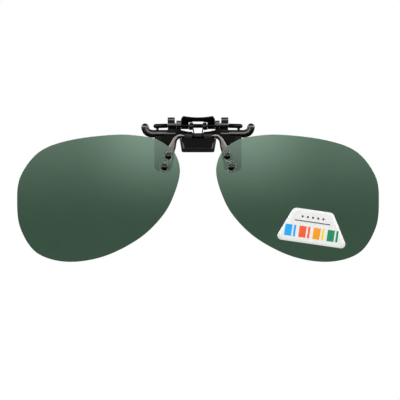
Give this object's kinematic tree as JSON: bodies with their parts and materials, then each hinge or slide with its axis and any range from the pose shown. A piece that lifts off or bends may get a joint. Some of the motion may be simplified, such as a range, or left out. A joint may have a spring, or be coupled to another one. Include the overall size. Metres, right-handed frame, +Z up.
{
  "type": "flip-up clip-on sunglasses",
  "caption": "Flip-up clip-on sunglasses: tinted teardrop lenses on a bridge that swings up from a sprung clamp with claws that grip spectacles.",
  "frame": {"origin": "middle of the flat rear face of the base web, which rests against the spectacles", "axes": "+X to the right as seen from the front, +Y to the rear, towards the spectacles, +Z up"},
  "size_m": [0.1316, 0.0154, 0.0529],
  "materials": {
    "lens": "grey-green tinted polycarbonate, clear through",
    "black_metal": "black satin coat",
    "black_plastic": "moulded, semi-gloss",
    "gunmetal": "gunmetal plate",
    "steel": "bright",
    "spring_steel": "drawn wire",
    "rubber": "soft black sleeve",
    "clear_plastic": "clear",
    "label": "printed film with plain stripes"
  },
  "bodies": {
    "clip_base": {"base_bracket": "black_metal", "thumb_pad": "black_plastic", "jaw_spring": "spring_steel", "thumb_rivet_left": "steel", "rest_pad_left": "rubber", "lower_claw_wire_left": "steel", "lower_claw_sleeve_left": "rubber", "thumb_rivet_right": "steel", "rest_pad_right": "rubber", "lower_claw_wire_right": "steel", "lower_claw_sleeve_right": "rubber"},
    "upper_jaw": {"finger_plate": "black_plastic", "jaw_axle": "steel", "axle_bush": "black_plastic", "upper_claw_left": "black_metal", "upper_claw_sleeve_left": "rubber", "upper_claw_right": "black_metal", "upper_claw_sleeve_right": "rubber"},
    "lens_carrier": {"lens_bridge": "gunmetal", "label": "label", "lens_left": "lens", "lens_rivet_upper_left": "black_metal", "front_washer_upper_left": "clear_plastic", "rear_washer_upper_left": "clear_plastic", "lens_rivet_lower_left": "black_metal", "front_washer_lower_left": "clear_plastic", "rear_washer_lower_left": "clear_plastic", "lens_right": "lens", "lens_rivet_upper_right": "black_metal", "front_washer_upper_right": "clear_plastic", "rear_washer_upper_right": "clear_plastic", "lens_rivet_lower_right": "black_metal", "front_washer_lower_right": "clear_plastic", "rear_washer_lower_right": "clear_plastic"}
  },
  "joints": [
    {"name": "jaw_open", "type": "hinge", "parent": "clip_base", "child": "upper_jaw", "pos_m": [0, -0.0012, 0.0057], "axis": [1, 0, 0], "range_deg": [0, 30], "stiffness_Nm_per_rad": 0.02, "springref_deg": -51.57, "deforming": ["jaw_spring"]},
    {"name": "lens_flip", "type": "hinge", "parent": "clip_base", "child": "lens_carrier", "pos_m": [0, -0.0028, 0.00208], "axis": [-1, 0, 0], "range_deg": [0, 95]}
  ]
}
